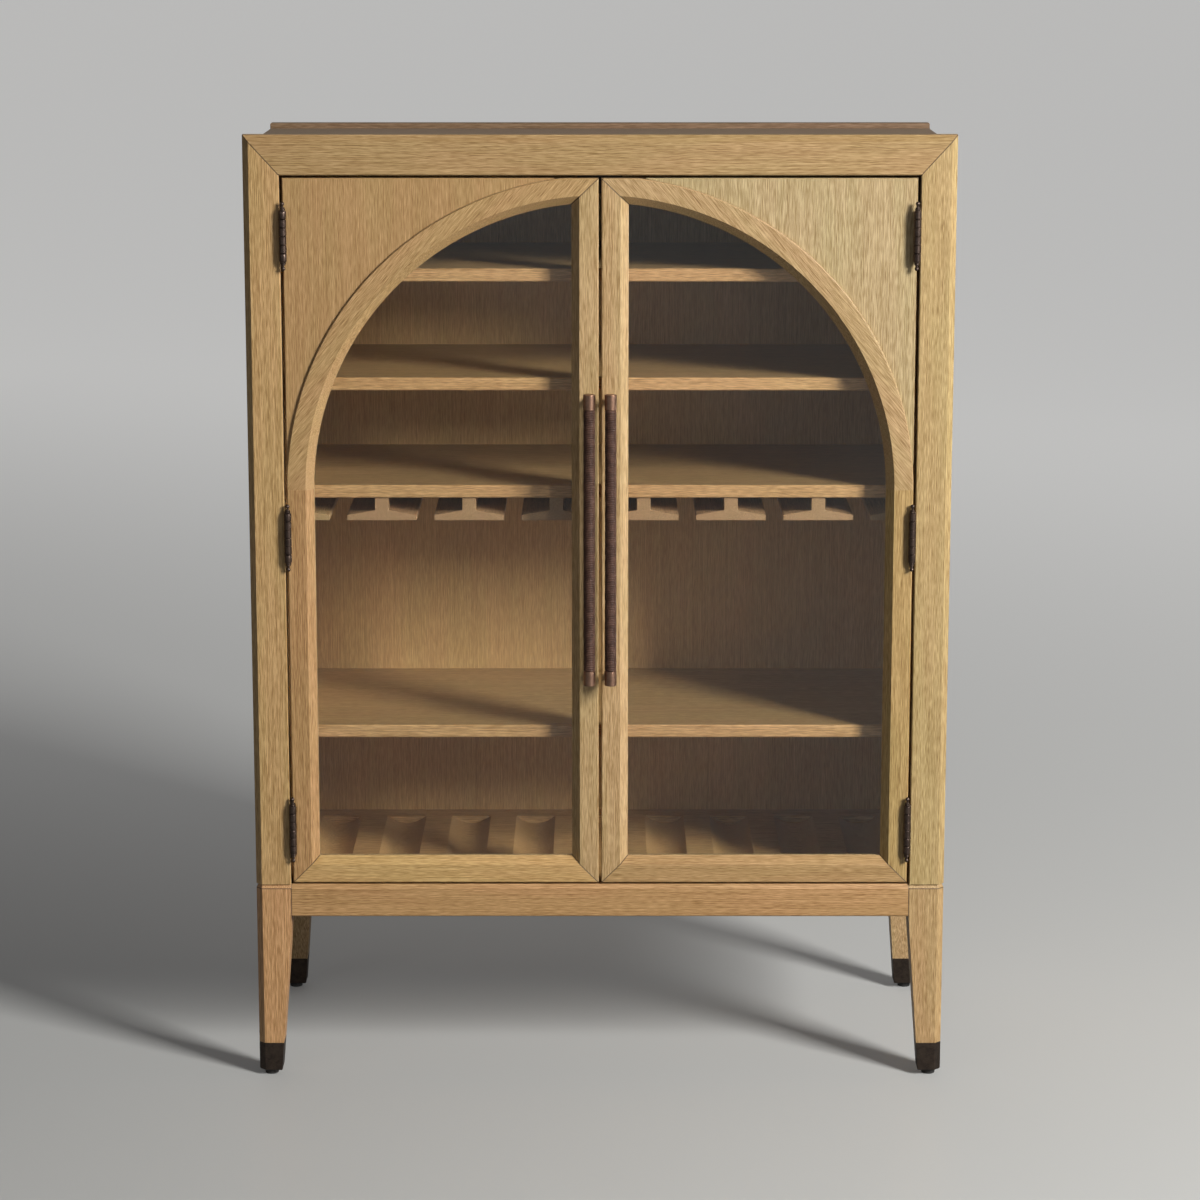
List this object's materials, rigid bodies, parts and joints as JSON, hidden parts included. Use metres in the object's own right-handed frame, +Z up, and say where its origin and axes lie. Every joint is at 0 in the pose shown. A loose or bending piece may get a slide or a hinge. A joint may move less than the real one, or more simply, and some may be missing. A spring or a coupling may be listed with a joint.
{
  "type": "bar cabinet",
  "caption": "Free-standing oak bar cabinet on tapered legs, with arched glass doors on butt hinges, open shelves, stemware rails and a bottle cradle.",
  "frame": {"origin": "on the floor, in the middle of the cabinet's whole outline, pulls included", "axes": "+X to the right as seen from the front, +Y to the back, +Z up"},
  "size_m": [1.016, 0.483, 1.397],
  "materials": {
    "oak": "natural oak, satin lacquer",
    "bronze": "oil-rubbed bronze",
    "pull_bronze": "brushed copper-brown bronze",
    "leather": "dark brown, fine grain",
    "glass": "clear",
    "glide_rubber": "black",
    "steel": "zinc plated",
    "catch_plastic": "dark brown"
  },
  "bodies": {
    "root": {"right_front_leg": "oak", "left_front_leg": "oak", "right_rear_leg": "oak", "left_rear_leg": "oak", "front_apron": "oak", "rear_apron": "oak", "right_apron": "oak", "left_apron": "oak", "bottle_cradle": "oak", "right_front_post": "oak", "left_front_post": "oak", "front_top_rail": "oak", "right_rear_post": "oak", "left_rear_post": "oak", "right_side_panel": "oak", "left_side_panel": "oak", "right_side_lining": "oak", "left_side_lining": "oak", "top_panel": "oak", "back_strip": "oak", "back_panel": "oak", "bottle_bay_shelf": "oak", "stemware_shelf": "oak", "lower_shelf": "oak", "upper_shelf": "oak", "stemware_rails": "oak", "stemware_end_rails": "oak", "leg_ferrules": "bronze", "case_hinge_leaves": "bronze", "case_hinge_screws": "bronze", "hinge_pins": "bronze", "leg_glides": "glide_rubber", "shelf_pins": "steel", "door_catch": "catch_plastic"},
    "right_door": {"right_centre_stile": "oak", "right_hinge_stile": "oak", "right_bottom_rail": "oak", "right_arch_rail": "oak", "right_spandrel": "oak", "right_door_glass": "glass", "right_glass_beads": "oak", "right_door_hinge_leaves": "bronze", "right_door_hinge_screws": "bronze", "right_pull": "pull_bronze", "right_pull_wrap": "leather", "right_pull_bolts": "steel", "right_strike_plate": "steel"},
    "left_door": {"left_centre_stile": "oak", "left_hinge_stile": "oak", "left_bottom_rail": "oak", "left_arch_rail": "oak", "left_spandrel": "oak", "left_door_glass": "glass", "left_glass_beads": "oak", "left_door_hinge_leaves": "bronze", "left_door_hinge_screws": "bronze", "left_pull": "pull_bronze", "left_pull_wrap": "leather", "left_pull_bolts": "steel", "left_strike_plate": "steel"}
  },
  "joints": [
    {"name": "right_door_swing", "type": "hinge", "parent": "root", "child": "right_door", "pos_m": [0.4512, -0.2091, 0.8175], "axis": [0, 0, 1], "range_deg": [0, 180]},
    {"name": "left_door_swing", "type": "hinge", "parent": "root", "child": "left_door", "pos_m": [-0.4512, -0.2091, 0.8175], "axis": [0, 0, -1], "range_deg": [0, 180]}
  ]
}
